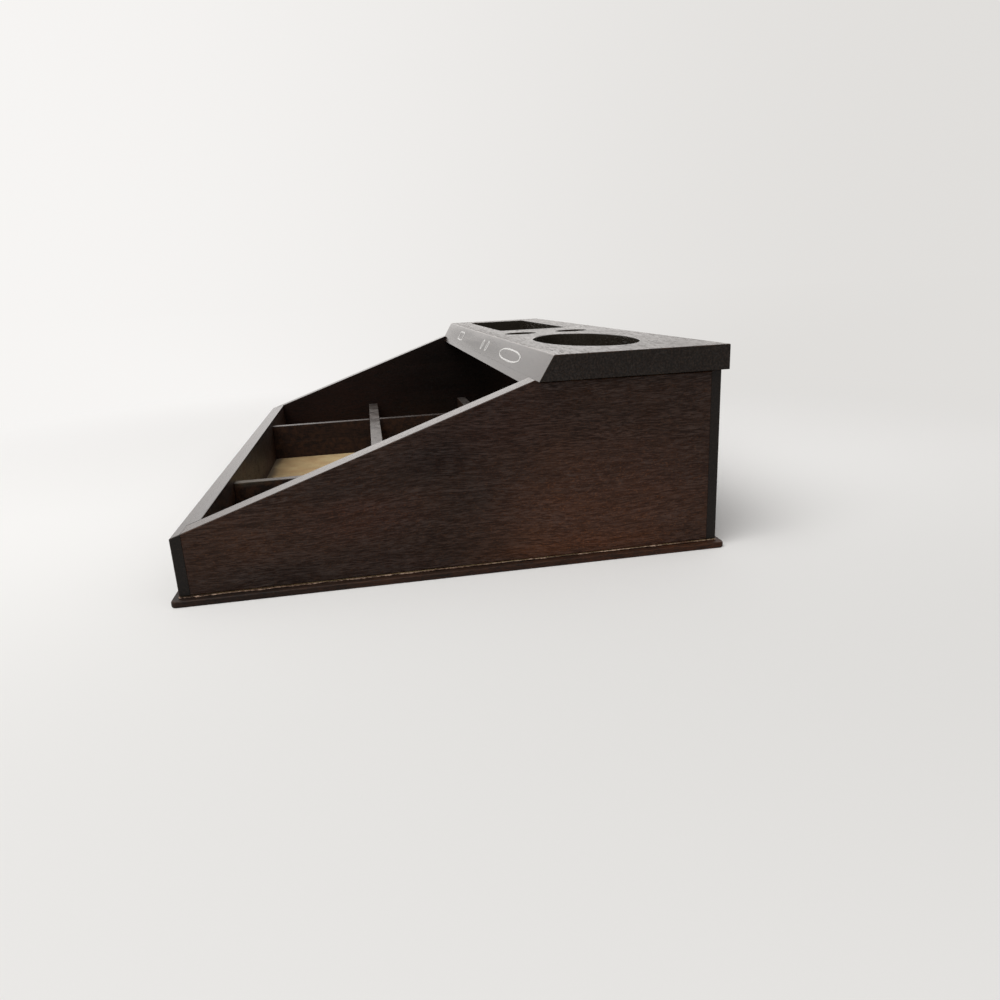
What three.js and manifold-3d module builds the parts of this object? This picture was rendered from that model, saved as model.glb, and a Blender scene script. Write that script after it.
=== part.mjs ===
// Desk valet: a wooden tray with sloping sides on a thin base board. Dividers split the tray into six cells, and
// a raised deck at the back has a slot, two pen holes and an oval hole. Millimetres, X right, Y back, Z up.
import * as THREE from "three";
import { mergeVertices } from "three/addons/utils/BufferGeometryUtils.js";
import Module from "manifold-3d";

// Driving dimensions of the walls. Depths count from the outer face of the front board.
const BODY_WIDTH = 254; // over the outer faces of the side boards
const BODY_DEPTH = 167; // over the outer faces of the front and back boards
const HEIGHT = 65.3; // table to the top of the deck
const FRONT_HEIGHT = 20.4; // table to the outer top edge of the front board
const SLOPE_RUN = 106.7; // depth at which the sloping tops of the sides become level
const SIDE_THICKNESS = 8.6;
const END_THICKNESS = 7.4; // front and back boards
const CORNER_LIP = 3.2; // part of the front and back boards that laps over the ends of the sides

// Driving dimensions of the base board and the lining sheet on it
const BASE_THICKNESS = 2;
const BASE_LEDGE = 2.2; // how far the base stands out beyond the walls
const BASE_ROUND = 0.8; // radius of the base board's edges and corners
const LINING_THICKNESS = 0.5;

// Driving dimensions of the deck
const DECK_THICKNESS = 9.9;
const DECK_DROP = 2.3; // how far the deck reaches down between the walls
const DECK_OVERHANG = 1.8; // beyond the sides and the back
const DECK_FRONT = 109.1; // depth of the deck's lower front edge where it rests on the sides
const DECK_BEVEL = THREE.MathUtils.degToRad(31.7); // lean of the front edge from the vertical
const SLOT = { x: -61.9, depth: 140, width: 102.2, length: 32.5, corner: 1.5 };
const PEN_HOLE = { x: 17, depth: 138.8, radius: 7, spacing: 22.8 };
const OVAL = { x: 72.8, depth: 139.2, halfWidth: 36, halfLength: 17.1 };

// Driving dimensions of the dividers
const DIVIDER_TOP = 19.9; // table to the tops of the dividers
const FRONT_ROW = 50.9; // clear depth of the front row of cells
const SECOND_ROW = 49.6; // clear depth of the row behind it
const CROSS_THICKNESS = 5.3; // dividers that run left to right
const LONG_THICKNESS = 4; // dividers that run front to back
const LONG_SPACING = 122.2; // between the middles of the two long dividers
const HOUSING_DEPTH = 1.5; // shallow grooves that hold the divider ends

// Driving dimensions of the joints
const GLUE_LINE = 0.1; // gap between glued faces
const SLACK = 0.15; // gap on each side of a housed or lapped divider
const DOWEL = { radius: 2.5, inWall: 7, inDeck: 5, sides: 16 };
const PIN = { shank: 0.6, head: 1.2, headThickness: 0.5, point: 1.5, length: 12, sides: 10 };
const BORE_SLACK = 0.15; // gap round a dowel or pin, and at its ends

// Sizes that follow from those
const HALF_WIDTH = BODY_WIDTH / 2;
const INNER_HALF = HALF_WIDTH - SIDE_THICKNESS;
const FLOOR = BASE_THICKNESS + LINING_THICKNESS;
const WALL_FOOT = FLOOR + GLUE_LINE;
const SEAT = HEIGHT - DECK_THICKNESS + DECK_DROP; // underside of the deck's rim
const WALL_TOP = SEAT - GLUE_LINE;
const SLOPE = (WALL_TOP - FRONT_HEIGHT) / SLOPE_RUN;
const CROSS_FRONT = END_THICKNESS + FRONT_ROW;
const RAIL_FRONT = CROSS_FRONT + CROSS_THICKNESS + SECOND_ROW;
const LAP_HEIGHT = (FLOOR + DIVIDER_TOP) / 2;
const BACK_INNER = BODY_DEPTH - END_THICKNESS;
const OVERCUT = 1; // how far a cutter runs past the face that it opens

const wasm = await Module();
wasm.setup();

function solidOf(geometry) {
  const bare = geometry.clone();
  bare.deleteAttribute("normal");
  bare.deleteAttribute("uv");
  const merged = mergeVertices(bare, 1e-4);
  const vertProperties = merged.getAttribute("position").array;
  const triVerts = new Uint32Array(merged.index.array);
  return new wasm.Manifold(new wasm.Mesh({ numProp: 3, vertProperties, triVerts }));
}

function cut(geometry, cutters) {
  let solid = solidOf(geometry);
  for (const cutter of cutters) {
    solid = solid.subtract(solidOf(cutter));
  }
  const made = solid.getMesh();
  const result = new THREE.BufferGeometry();
  result.setAttribute("position", new THREE.BufferAttribute(made.vertProperties, 3));
  result.setIndex(new THREE.BufferAttribute(made.triVerts, 1));
  result.computeVertexNormals();
  return result;
}

// A box between two corners
function block(low, high) {
  const size = high.map((value, axis) => value - low[axis]);
  const middle = high.map((value, axis) => (value + low[axis]) / 2);
  return new THREE.BoxGeometry(...size).translate(...middle);
}

// A board along X whose outline is given as [depth, height] corners
function boardAlongX(outline, left, right) {
  const shape = new THREE.Shape(outline.map(([y, z]) => new THREE.Vector2(y, z)));
  const board = new THREE.ExtrudeGeometry(shape, { depth: right - left, bevelEnabled: false });
  const turn = new THREE.Matrix4().makeBasis(
    new THREE.Vector3(0, 1, 0),
    new THREE.Vector3(0, 0, 1),
    new THREE.Vector3(1, 0, 0),
  );
  return board.applyMatrix4(turn).translate(left, 0, 0);
}

function uprightCylinder(x, y, bottom, top, radius, sides) {
  const cylinder = new THREE.CylinderGeometry(radius, radius, top - bottom, sides);
  return cylinder.rotateX(Math.PI / 2).translate(x, y, (bottom + top) / 2);
}

function roundedRectangle(width, length, radius) {
  const [x, y] = [width / 2, length / 2];
  const shape = new THREE.Shape();
  shape.moveTo(-x + radius, -y);
  shape.lineTo(x - radius, -y);
  shape.absarc(x - radius, -y + radius, radius, -Math.PI / 2, 0);
  shape.lineTo(x, y - radius);
  shape.absarc(x - radius, y - radius, radius, 0, Math.PI / 2);
  shape.lineTo(-x + radius, y);
  shape.absarc(-x + radius, y - radius, radius, Math.PI / 2, Math.PI);
  shape.lineTo(-x, -y + radius);
  shape.absarc(-x + radius, -y + radius, radius, Math.PI, 1.5 * Math.PI);
  return shape;
}

function slopeAt(y) {
  return FRONT_HEIGHT + SLOPE * y;
}

function bevelAt(z) {
  return DECK_FRONT + (z - SEAT) * Math.tan(DECK_BEVEL);
}

// Places of the hidden fastenings: pins up through the base into the walls, dowels between walls and deck
const wallMiddle = HALF_WIDTH - SIDE_THICKNESS / 2;
const pinPlaces = [];
const dowelPlaces = [];
for (const [index, share] of [0.16, 0.5, 0.84].entries()) {
  const across = (share - 0.5) * BODY_WIDTH;
  const along = share * BODY_DEPTH;
  pinPlaces.push({ name: `base_pin_front_${index + 1}`, x: across, y: END_THICKNESS / 2 });
  pinPlaces.push({ name: `base_pin_back_${index + 1}`, x: across, y: BODY_DEPTH - END_THICKNESS / 2 });
  pinPlaces.push({ name: `base_pin_left_${index + 1}`, x: -wallMiddle, y: along });
  pinPlaces.push({ name: `base_pin_right_${index + 1}`, x: wallMiddle, y: along });
}
for (const [index, share] of [0.25, 0.75].entries()) {
  const along = DECK_FRONT + share * (BACK_INNER - DECK_FRONT);
  const across = (share - 0.5) * BODY_WIDTH;
  dowelPlaces.push({ name: `deck_dowel_left_${index + 1}`, x: -wallMiddle, y: along });
  dowelPlaces.push({ name: `deck_dowel_right_${index + 1}`, x: wallMiddle, y: along });
  dowelPlaces.push({ name: `deck_dowel_back_${index + 1}`, x: across, y: BODY_DEPTH - END_THICKNESS / 2 });
}

function pinBores() {
  const radius = PIN.shank + BORE_SLACK;
  const top = PIN.length + BORE_SLACK;
  return pinPlaces.map(({ x, y }) => uprightCylinder(x, y, -OVERCUT, top, radius, PIN.sides));
}

function dowelBores() {
  const radius = DOWEL.radius + BORE_SLACK;
  const bottom = SEAT - DOWEL.inWall - BORE_SLACK;
  const top = SEAT + DOWEL.inDeck + BORE_SLACK;
  return dowelPlaces.map(({ x, y }) => uprightCylinder(x, y, bottom, top, radius, DOWEL.sides));
}

// A groove for the end of a divider, from below the floor to just over the divider's top
function housing(left, right, front, back) {
  return block([left - SLACK, front - SLACK, -OVERCUT], [right + SLACK, back + SLACK, DIVIDER_TOP + SLACK]);
}

function crossHousings(front) {
  const reach = INNER_HALF + HOUSING_DEPTH - SLACK;
  return housing(-reach, reach, front, front + CROSS_THICKNESS);
}

function longHousings() {
  const half = LONG_THICKNESS / 2;
  const front = END_THICKNESS - HOUSING_DEPTH + SLACK;
  const back = RAIL_FRONT + HOUSING_DEPTH - SLACK;
  return [-1, 1].map((side) => {
    const middle = (side * LONG_SPACING) / 2;
    return housing(middle - half, middle + half, front, back);
  });
}

function baseBoard() {
  const width = BODY_WIDTH + 2 * BASE_LEDGE;
  const length = BODY_DEPTH + 2 * BASE_LEDGE;
  const outline = roundedRectangle(width, length, 2 * BASE_ROUND);
  const board = new THREE.ExtrudeGeometry(outline, {
    depth: BASE_THICKNESS - 2 * BASE_ROUND,
    bevelThickness: BASE_ROUND,
    bevelSize: BASE_ROUND,
    bevelOffset: -BASE_ROUND,
    bevelSegments: 3,
    curveSegments: 3,
  });
  board.translate(0, BODY_DEPTH / 2, BASE_ROUND);
  const recess = PIN.headThickness + BORE_SLACK;
  const headBores = pinPlaces.map(({ x, y }) => {
    return uprightCylinder(x, y, -OVERCUT, recess, PIN.head + BORE_SLACK, PIN.sides);
  });
  return cut(board, [...headBores, ...pinBores()]);
}

function floorLining() {
  const sheet = block([-HALF_WIDTH, 0, BASE_THICKNESS], [HALF_WIDTH, BODY_DEPTH, FLOOR]);
  return cut(sheet, pinBores());
}

function sideBoard(side) {
  const front = CORNER_LIP + GLUE_LINE;
  const back = BODY_DEPTH - CORNER_LIP - GLUE_LINE;
  const outline = [
    [front, WALL_FOOT],
    [back, WALL_FOOT],
    [back, WALL_TOP],
    [SLOPE_RUN, WALL_TOP],
    [front, slopeAt(front)],
  ];
  const [left, right] = side < 0 ? [-HALF_WIDTH, -INNER_HALF] : [INNER_HALF, HALF_WIDTH];
  const grooves = [crossHousings(CROSS_FRONT), crossHousings(RAIL_FRONT)];
  return cut(boardAlongX(outline, left, right), [...grooves, ...pinBores(), ...dowelBores()]);
}

// The rebates at both ends of the front or back board, which leave only the lip there
function cornerRebates(front, back) {
  const inner = INNER_HALF - GLUE_LINE;
  const outer = HALF_WIDTH + OVERCUT;
  return [
    block([-outer, front, -OVERCUT], [-inner, back, HEIGHT]),
    block([inner, front, -OVERCUT], [outer, back, HEIGHT]),
  ];
}

function frontBoard() {
  const outline = [
    [0, WALL_FOOT],
    [END_THICKNESS, WALL_FOOT],
    [END_THICKNESS, slopeAt(END_THICKNESS)],
    [0, FRONT_HEIGHT],
  ];
  const rebates = cornerRebates(CORNER_LIP, END_THICKNESS + OVERCUT);
  const board = boardAlongX(outline, -HALF_WIDTH, HALF_WIDTH);
  return cut(board, [...rebates, ...longHousings(), ...pinBores()]);
}

function backBoard() {
  const board = block([-HALF_WIDTH, BACK_INNER, WALL_FOOT], [HALF_WIDTH, BODY_DEPTH, WALL_TOP]);
  const rebates = cornerRebates(BACK_INNER - OVERCUT, BODY_DEPTH - CORNER_LIP);
  return cut(board, [...rebates, ...pinBores(), ...dowelBores()]);
}

function deckHoles() {
  const slot = roundedRectangle(SLOT.width, SLOT.length, SLOT.corner);
  const oval = new THREE.Shape();
  oval.absellipse(0, 0, OVAL.halfWidth, OVAL.halfLength, 0, 2 * Math.PI);
  const depth = DECK_THICKNESS + 2 * OVERCUT;
  const bottom = HEIGHT - DECK_THICKNESS - OVERCUT;
  const slotCut = new THREE.ExtrudeGeometry(slot, { depth, bevelEnabled: false, curveSegments: 4 });
  const ovalCut = new THREE.ExtrudeGeometry(oval, { depth, bevelEnabled: false, curveSegments: 64 });
  const penCuts = [-0.5, 0.5].map((share) => {
    const y = PEN_HOLE.depth + share * PEN_HOLE.spacing;
    return uprightCylinder(PEN_HOLE.x, y, bottom, bottom + depth, PEN_HOLE.radius, 40);
  });
  slotCut.translate(SLOT.x, SLOT.depth, bottom);
  ovalCut.translate(OVAL.x, OVAL.depth, bottom);
  return [slotCut, ovalCut, ...penCuts];
}

function topDeck() {
  const half = HALF_WIDTH + DECK_OVERHANG;
  const back = BODY_DEPTH + DECK_OVERHANG;
  const underside = HEIGHT - DECK_THICKNESS;
  const outline = [
    [bevelAt(underside), underside],
    [back, underside],
    [back, HEIGHT],
    [bevelAt(HEIGHT), HEIGHT],
  ];
  const inner = INNER_HALF - GLUE_LINE;
  const front = bevelAt(underside) - OVERCUT;
  const rebates = [
    block([-half - OVERCUT, front, 0], [-inner, back + OVERCUT, SEAT]),
    block([inner, front, 0], [half + OVERCUT, back + OVERCUT, SEAT]),
    block([-half, BACK_INNER - GLUE_LINE, 0], [half, back + OVERCUT, SEAT]),
  ];
  const board = boardAlongX(outline, -half, half);
  return cut(board, [...rebates, ...deckHoles(), ...dowelBores()]);
}

// The notches that let the cross divider drop over a long divider, half of the height each
function lapNotches(thickness, middles, crossways) {
  const half = thickness / 2 + SLACK;
  return middles.map((middle) => {
    if (crossways) {
      return block([middle - half, -OVERCUT, 0], [middle + half, BODY_DEPTH, LAP_HEIGHT + SLACK]);
    }
    return block([-HALF_WIDTH, middle - half, LAP_HEIGHT - SLACK], [HALF_WIDTH, middle + half, HEIGHT]);
  });
}

function crossBoard(front) {
  const half = INNER_HALF + HOUSING_DEPTH - SLACK;
  return block([-half, front, WALL_FOOT], [half, front + CROSS_THICKNESS, DIVIDER_TOP]);
}

function crossDivider() {
  const middles = [-LONG_SPACING / 2, LONG_SPACING / 2];
  return cut(crossBoard(CROSS_FRONT), lapNotches(LONG_THICKNESS, middles, true));
}

function rearRail() {
  return cut(crossBoard(RAIL_FRONT), longHousings());
}

function longDivider(side) {
  const middle = (side * LONG_SPACING) / 2;
  const half = LONG_THICKNESS / 2;
  const front = END_THICKNESS - HOUSING_DEPTH + SLACK;
  const back = RAIL_FRONT + HOUSING_DEPTH - SLACK;
  const board = block([middle - half, front, WALL_FOOT], [middle + half, back, DIVIDER_TOP]);
  return cut(board, lapNotches(CROSS_THICKNESS, [CROSS_FRONT + CROSS_THICKNESS / 2], false));
}

function deckDowel() {
  return uprightCylinder(0, 0, -DOWEL.inWall, DOWEL.inDeck, DOWEL.radius, DOWEL.sides);
}

// A flat-headed pin, head down, with its point up
function basePin() {
  const outline = [
    [0, 0],
    [PIN.head, 0],
    [PIN.head, PIN.headThickness],
    [PIN.shank, PIN.headThickness],
    [PIN.shank, PIN.length - PIN.point],
    [0, PIN.length],
  ];
  const points = outline.map(([radius, height]) => new THREE.Vector2(radius, height));
  return new THREE.LatheGeometry(points, PIN.sides).rotateX(Math.PI / 2);
}

const stainedWood = { color: 0x2d231e, roughness: 0.5, metalness: 0 };
const dividerWood = { color: 0x241b17, roughness: 0.55, metalness: 0 };
const deckWood = { color: 0x272421, roughness: 0.4, metalness: 0 };
const tanLining = { color: 0xc3aa73, roughness: 0.95, metalness: 0 };
const dowelWood = { color: 0xc9a878, roughness: 0.8, metalness: 0 };
const pinSteel = { color: 0xa8aaac, roughness: 0.35, metalness: 1 };

const valet = new THREE.Group();
valet.position.y = -BODY_DEPTH / 2;

function add(name, geometry, look, x = 0, y = 0, z = 0) {
  const mesh = new THREE.Mesh(geometry, new THREE.MeshStandardMaterial(look));
  mesh.name = name;
  mesh.position.set(x, y, z);
  valet.add(mesh);
}

add("base_board", baseBoard(), stainedWood);
add("floor_lining", floorLining(), tanLining);
add("left_side", sideBoard(-1), stainedWood);
add("right_side", sideBoard(1), stainedWood);
add("front_board", frontBoard(), stainedWood);
add("back_board", backBoard(), stainedWood);
add("top_deck", topDeck(), deckWood);
add("cross_divider", crossDivider(), dividerWood);
add("rear_rail", rearRail(), dividerWood);
add("left_divider", longDivider(-1), dividerWood);
add("right_divider", longDivider(1), dividerWood);
for (const { name, x, y } of dowelPlaces) {
  add(name, deckDowel(), dowelWood, x, y, SEAT);
}
for (const { name, x, y } of pinPlaces) {
  add(name, basePin(), pinSteel, x, y, BORE_SLACK);
}

// The origin is under the middle of the base board, on the table
const part = new THREE.Group();
part.add(valet);

export default part;
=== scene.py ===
"""Looks of the desk valet: boards with eased edges, stained wood, lining, camera and studio light.

Metres, X to the right, Y from the low front to the raised back, Z up, origin under the middle of the base.
"""

import math

import bmesh
import bpy
import numpy as np
from mathutils import Matrix, Vector


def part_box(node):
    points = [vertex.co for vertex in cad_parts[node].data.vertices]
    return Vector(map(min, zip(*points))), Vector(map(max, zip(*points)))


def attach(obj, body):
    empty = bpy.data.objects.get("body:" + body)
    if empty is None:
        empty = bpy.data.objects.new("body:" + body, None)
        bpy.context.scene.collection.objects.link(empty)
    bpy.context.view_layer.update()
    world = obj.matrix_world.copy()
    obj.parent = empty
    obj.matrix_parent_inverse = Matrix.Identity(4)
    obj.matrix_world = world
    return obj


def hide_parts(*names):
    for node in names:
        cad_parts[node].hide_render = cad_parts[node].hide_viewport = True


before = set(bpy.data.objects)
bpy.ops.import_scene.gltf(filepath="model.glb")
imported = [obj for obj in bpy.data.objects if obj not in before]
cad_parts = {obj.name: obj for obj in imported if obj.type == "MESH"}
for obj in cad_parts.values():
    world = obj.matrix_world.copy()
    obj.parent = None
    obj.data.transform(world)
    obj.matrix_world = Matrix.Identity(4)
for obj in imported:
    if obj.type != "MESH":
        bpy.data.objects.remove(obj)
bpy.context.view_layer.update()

MM = 0.001
BODY = "root"


def limits(node):
    """Lowest and highest corner of a CAD node, as a 2 by 3 array."""
    return np.array([list(corner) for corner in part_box(node)])


# Places taken from the frame
BASE = limits("base_board")
LINING = limits("floor_lining")
LEFT = limits("left_side")
RIGHT = limits("right_side")
FRONT = limits("front_board")
BACK = limits("back_board")
DECK = limits("top_deck")
CROSS = limits("cross_divider")
RAIL = limits("rear_rail")
LEFT_LONG = limits("left_divider")
RIGHT_LONG = limits("right_divider")

# Sizes that the boxes of the nodes don't show
SLOPE_BREAK = 23.2 * MM  # place where the slope line crosses the level of the deck's seat
RIDGE = 24.7 * MM  # end of the sloping tops, a little above the seat
RIDGE_FOOT = 26.5 * MM  # place where the walls' tops are down at the seat again
SEAT_GAP = 0.25 * MM  # open joint between the walls' tops and the deck
DECK_DROP = 2.3 * MM  # how far the deck reaches down between the walls
DROP_GAP = 0.1 * MM  # space between the deck's drop and the back board
DECK_BEVEL = math.radians(31.7)  # lean of the deck's front edge from the vertical
CORNER_LIP = 3.2 * MM  # part of the front and back boards that laps over the sides
LINING_INSET = 0.2 * MM  # how far the flat of the card ends inside its raw edge
HALF_OVERLAP = 0.1 * MM  # how far the halves of a lapped divider reach into each other
LEVEL_OVERLAP = 0.05 * MM  # how far the deck's lower level reaches into the upper one
SLOT = {"centre": (-61.9, 56.5), "half": (51.1, 16.25), "power": 26.0}
OVAL = {"centre": (72.8, 55.7), "half": (36.0, 17.1), "power": 2.0}
PEN_FRONT = {"centre": (17.0, 43.9), "half": (7.0, 7.0), "power": 2.0}
PEN_BACK = {"centre": (17.0, 66.7), "half": (7.0, 7.0), "power": 2.0}

# Eased edges
ARRIS = 0.35 * MM  # usual radius of a sanded edge
BASE_ROUND = 0.5 * MM  # edges of the base board
BASE_CORNER = 1.6 * MM  # corners of the base board's outline
LINING_ROUND = 0.1 * MM
DIVIDER_ARRIS = 0.25 * MM  # edges of the rail and of the dividers' upper halves
DROP_ARRIS = 0.2 * MM  # lower edges of the deck's drop
HOLE_ARRIS = 0.3 * MM  # rims of the deck's openings
SHARP = 0.05 * MM  # edges of the dividers' lower halves, and the deck's smallest corners
LAYER_EDGE = 0.02 * MM  # edges where two layers of one board meet
DROP_TOP_EDGE = 0.01 * MM  # upper edges of the deck's drop, inside the deck
LEAST_CORNER = 0.03 * MM  # smallest corners of the front and back boards
LEAST_SHARE = 0.05  # smallest corner of a block, as a share of the radius of its edges
SANDING = 0.3  # how far the sides' sanded edges wander, as a share of their radius
SANDING_WAVES = (7.0 * MM, 17.0 * MM)
SMOOTH_ANGLE = math.radians(40.0)  # faces that meet at a wider turn keep a sharp edge

# Fineness of the meshes
ARC_STEPS = 5
SIDE_PLACES = 60
RIDGE_PLACES = 6
HOLE_POINTS = 128
MARK_POINTS = 64

seat = DECK[0, 2] + DECK_DROP
inner_half = RIGHT[0, 0]
slope = (RIGHT[1, 2] - FRONT[1, 2]) / (SLOPE_BREAK - FRONT[1, 1])
lap_height = (LINING[1, 2] + CROSS[1, 2]) / 2
bevel_foot = DECK[0, 1]  # front of the deck at its underside


def slope_top(y):
    """Height of the walls' tops: the slope line up to its ridge, then a short fall to the open joint."""
    y = np.asarray(y)
    level = RIGHT[1, 2]
    low = level - SEAT_GAP
    ridge = level + slope * (RIDGE - SLOPE_BREAK)
    fall = np.interp(y, [RIDGE, RIDGE_FOOT], [ridge, low])
    return np.where(y < RIDGE, level + slope * (y - SLOPE_BREAK), fall)


def bevel_front(z):
    """Front of the deck at a height: a straight line that leans back."""
    return bevel_foot + (np.asarray(z) - DECK[0, 2]) * math.tan(DECK_BEVEL)


def rounded_loops(low, high, radius):
    """Rectangles with round corners, one per row: a corner's centre plus its radius times an arc."""
    low, high = np.atleast_2d(low), np.atleast_2d(high)
    radius = np.broadcast_to(np.asarray(radius, float), (len(low),))[:, None, None]
    quarter = np.linspace(0, np.pi / 2, ARC_STEPS)
    angle = (np.arange(4)[:, None] * np.pi / 2 + quarter).ravel()
    circle = np.stack([np.cos(angle), np.sin(angle)], -1)
    to_high = np.repeat(np.array([[1, 1], [0, 1], [0, 0], [1, 0]], bool), ARC_STEPS, 0)
    centre = np.where(to_high, high[:, None] - radius, low[:, None] + radius)
    return centre + radius * circle


def oval_curve(points, power):
    """Closed curve of the form |x|^p + |y|^p = 1: a circle at power 2, nearer to a square above it."""
    angle = np.linspace(0, 2 * np.pi, points, endpoint=False)
    unit = np.stack([np.cos(angle), np.sin(angle)], -1)
    return np.sign(unit) * np.abs(unit) ** (2 / power)


def corner_arris():
    """Edge wear round a rounded loop: 1 in the middle of each corner arc, 0 where the flats start."""
    return np.tile(np.sin(np.linspace(0, np.pi, ARC_STEPS)), 4)


def eased_ends(start, end, radius_start, radius_end):
    """Places along an axis with round ends: insets of a quarter circle at both, and the edge wear there."""
    turn = np.linspace(0, np.pi / 2, ARC_STEPS)
    opening = start + radius_start * (1 - np.cos(turn))
    closing = end - radius_end * (1 - np.cos(turn[::-1]))
    inset = np.concatenate([radius_start * (1 - np.sin(turn)), radius_end * (1 - np.sin(turn[::-1]))])
    wear = np.concatenate([np.sin(2 * turn), np.sin(2 * turn[::-1])])
    return np.concatenate([opening, closing]), inset, wear


def stack(axis, places, loops):
    """Closed rings in space: flat loops of the other two axes, carried to places along one axis."""
    others = [a for a in range(3) if a != axis]
    rings = np.empty((*loops.shape[:2], 3))
    rings[..., axis] = np.asarray(places)[:, None]
    rings[..., others] = loops
    return rings


def ring_quads(count, points):
    """Four-sided faces between each ring and the next, as rows of vertex numbers."""
    here = np.arange(count - 1)[:, None] * points + np.arange(points)
    beside = np.arange(count - 1)[:, None] * points + (np.arange(points) + 1) % points
    return np.stack([here, beside, beside + points, here + points], -1).reshape(-1, 4)


class Shell:
    """One surface of rings: vertices, faces, the edge wear of each vertex, and whether it is a sawn hole."""

    def __init__(self, rings, wear=None, caps=True, sawn=0.0):
        count, points = rings.shape[:2]
        self.verts = rings.reshape(-1, 3)
        self.faces = ring_quads(count, points).tolist()
        self.wear = np.zeros(len(self.verts)) if wear is None else np.asarray(wear).reshape(-1)
        self.sawn = np.full(len(self.verts), sawn)
        if caps:
            last = (count - 1) * points
            self.faces += [list(range(points)), list(range(last, last + points))]


def plain_board(axis, places, low, high, radius, wear_ends=None):
    """A board of rectangles with round corners along one axis, worn on the corner arcs and at its ends."""
    loops = rounded_loops(low, high, radius)
    wear = np.broadcast_to(corner_arris(), loops.shape[:2])
    if wear_ends is not None:
        wear = np.maximum(wear, np.asarray(wear_ends)[:, None])
    return Shell(stack(axis, places, loops), wear)


def block(low, high, radius):
    """A box along X with all its edges eased by quarter circles."""
    place, inset, wear = eased_ends(low[0], high[0], radius, radius)
    low_loops = np.array(low[1:]) + inset[:, None]
    high_loops = np.array(high[1:]) - inset[:, None]
    corner = np.maximum(radius - inset, radius * LEAST_SHARE)
    return plain_board(0, place, low_loops, high_loops, corner, wear)


def placed(name, data):
    """An object at the origin, linked into the scene."""
    obj = bpy.data.objects.new(name, data)
    bpy.context.scene.collection.objects.link(obj)
    return obj


def finish_piece(obj, material, nodes=()):
    """Puts a piece into the object: material, body, and the CAD nodes that it stands for."""
    obj.data.materials.append(material)
    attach(obj, BODY)
    if nodes:
        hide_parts(*nodes)
    return obj


def piece_of_shells(name, shells, material, nodes=(), fill=()):
    """A mesh of several shells. Each set of vertex loops in fill is closed by a flat face with holes."""
    mesh = bpy.data.meshes.new(name)
    starts = np.cumsum([0] + [len(s.verts) for s in shells])
    faces = [[v + int(start) for v in face] for s, start in zip(shells, starts) for face in s.faces]
    mesh.from_pydata(np.concatenate([s.verts for s in shells]).tolist(), [], faces)
    worn = mesh.attributes.new("arris", "FLOAT", "POINT")
    worn.data.foreach_set("value", np.concatenate([s.wear for s in shells]).astype(np.float32))
    sawn = mesh.attributes.new("sawn", "FLOAT", "POINT")
    sawn.data.foreach_set("value", np.concatenate([s.sawn for s in shells]).astype(np.float32))
    bm = bmesh.new()
    bm.from_mesh(mesh)
    bm.verts.ensure_lookup_table()
    for loops in fill:
        pairs = [pair for loop in loops for pair in zip(loop, np.roll(loop, -1))]
        edges = [bm.edges.get((bm.verts[a], bm.verts[b])) for a, b in pairs]
        bmesh.ops.triangle_fill(bm, use_beauty=True, edges=edges)
    bmesh.ops.recalc_face_normals(bm, faces=bm.faces)
    bm.to_mesh(mesh)
    bm.free()
    mesh.polygons.foreach_set("use_smooth", np.ones(len(mesh.polygons), bool))
    mesh.set_sharp_from_angle(angle=SMOOTH_ANGLE)
    obj = placed(name, mesh)
    even = obj.modifiers.new("even_flats", "WEIGHTED_NORMAL")
    even.keep_sharp = True
    return finish_piece(obj, material, nodes)


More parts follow.
